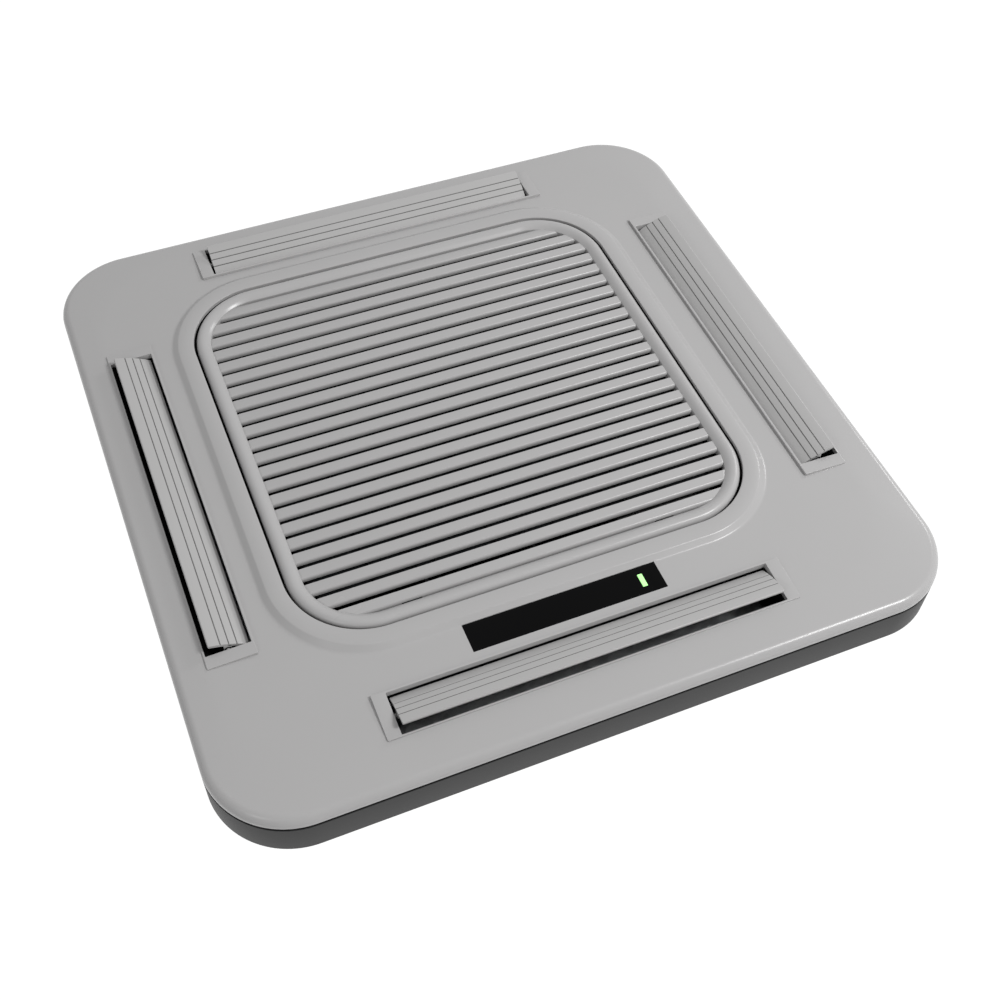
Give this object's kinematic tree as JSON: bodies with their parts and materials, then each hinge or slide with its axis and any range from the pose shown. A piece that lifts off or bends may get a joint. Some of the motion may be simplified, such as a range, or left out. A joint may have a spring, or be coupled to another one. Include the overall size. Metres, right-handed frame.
{
  "type": "ceiling cassette air conditioner",
  "caption": "Square ceiling cassette air conditioner: a raised louvred grille in the middle, a flap in an outlet along each side, a dark rim and a shallow chamfered casing behind.",
  "frame": {"origin": "middle of the bounding box on the casing's back plate, which the unit lies on", "axes": "+Z out of the room-side face, which faces down when installed; -Y to the side with the display; +X to the right seen from the room side with the display nearest, where the pipes and the drain leave the casing"},
  "size_m": [0.95, 0.95, 0.2602],
  "materials": {
    "panel_plastic": "light grey, satin to semi-gloss moulded plastic",
    "flap_plastic": "light grey, satin to semi-gloss moulded plastic",
    "dark_plastic": "dark grey, fine moulded texture",
    "filter_plastic": "black moulded frame",
    "filter_mesh": "fine dark woven net",
    "display_glass": "black, glossy",
    "lamp_green": "lit pale green diffuser",
    "board_green": "solder-masked circuit board",
    "zinc_sheet": "zinc-coated sheet steel",
    "bright_steel": "turned or plated steel",
    "white_foam": "moulded foam with fine beads",
    "grey_plastic": "grey moulded plastic",
    "coil_aluminium": "close-set fins",
    "copper": "drawn copper tube",
    "brass": "machined brass",
    "black_rubber": "black, matt"
  },
  "bodies": {
    "cassette": {"fascia": "panel_plastic", "outlet_frame_front": "panel_plastic", "outlet_frame_right": "panel_plastic", "outlet_frame_back": "panel_plastic", "outlet_frame_left": "panel_plastic", "surround": "dark_plastic", "display_window": "display_glass", "status_light": "lamp_green", "display_board": "board_green", "main_board": "board_green", "casing": "zinc_sheet", "coil_end_plate_back": "zinc_sheet", "coil_end_plate_right": "zinc_sheet", "control_box": "zinc_sheet", "control_cover": "zinc_sheet", "fan_motor": "zinc_sheet", "hinge_bracket_left": "zinc_sheet", "hinge_bracket_right": "zinc_sheet", "hanging_lug_back_right": "zinc_sheet", "hanging_lug_back_left": "zinc_sheet", "hanging_lug_front_left": "zinc_sheet", "hanging_lug_front_right": "zinc_sheet", "hinge_pin_left": "bright_steel", "hinge_pin_right": "bright_steel", "flap_motor_front": "bright_steel", "flap_motor_right": "bright_steel", "flap_motor_back": "bright_steel", "flap_motor_left": "bright_steel", "panel_screw_back_right": "bright_steel", "panel_screw_back_left": "bright_steel", "panel_screw_front_left": "bright_steel", "panel_screw_front_right": "bright_steel", "foam_liner": "white_foam", "drain_pan": "white_foam", "bell_mouth": "grey_plastic", "float_switch": "grey_plastic", "drain_port": "grey_plastic", "coil": "coil_aluminium", "gas_header": "copper", "liquid_header": "copper", "gas_pipe": "copper", "liquid_pipe": "copper", "gas_cap_nut": "brass", "liquid_cap_nut": "brass", "drain_pump": "black_rubber", "drain_hose": "black_rubber", "cable_gland": "black_rubber"},
    "grille": {"intake_grille": "panel_plastic", "filter_frame": "filter_plastic", "filter_net": "filter_mesh"},
    "latch_left": {"grille_latch_left": "dark_plastic"},
    "latch_right": {"grille_latch_right": "dark_plastic"},
    "fan": {"fan_rotor": "grey_plastic", "motor_shaft": "bright_steel", "hub_nut": "bright_steel"},
    "float": {"float": "white_foam"},
    "flap_front": {"flap_front": "flap_plastic"},
    "flap_right": {"flap_right": "flap_plastic"},
    "flap_back": {"flap_back": "flap_plastic"},
    "flap_left": {"flap_left": "flap_plastic"}
  },
  "joints": [
    {"name": "grille_hinge", "type": "hinge", "parent": "cassette", "child": "grille", "pos_m": [-0.01, 0.3195, 0.248], "axis": [-1, 0, 0], "range_deg": [0, 80]},
    {"name": "latch_left_slide", "type": "slide", "parent": "grille", "child": "latch_left", "axis": [0, -1, 0], "range_m": [0, 0.008]},
    {"name": "latch_right_slide", "type": "slide", "parent": "grille", "child": "latch_right", "axis": [0, -1, 0], "range_m": [0, 0.008]},
    {"name": "flap_front_hinge", "type": "hinge", "parent": "cassette", "child": "flap_front", "pos_m": [-0.005, -0.3889, 0.24185], "axis": [-1, 0, 0], "range_deg": [-22, 28]},
    {"name": "flap_right_hinge", "type": "hinge", "parent": "cassette", "child": "flap_right", "pos_m": [0.3939, 0.01, 0.24185], "axis": [0, -1, 0], "range_deg": [-22, 28]},
    {"name": "flap_back_hinge", "type": "hinge", "parent": "cassette", "child": "flap_back", "pos_m": [-0.005, 0.4089, 0.24185], "axis": [1, 0, 0], "range_deg": [-22, 28]},
    {"name": "flap_left_hinge", "type": "hinge", "parent": "cassette", "child": "flap_left", "pos_m": [-0.4039, 0.01, 0.24185], "axis": [0, 1, 0], "range_deg": [-22, 28]},
    {"name": "fan_spin", "type": "hinge", "parent": "cassette", "child": "fan", "pos_m": [-0.01, 0.028, 0.08], "axis": [0, 0, 1], "continuous": true},
    {"name": "float_slide", "type": "slide", "parent": "cassette", "child": "float", "axis": [0, 0, 1], "range_m": [0, 0.016]}
  ]
}
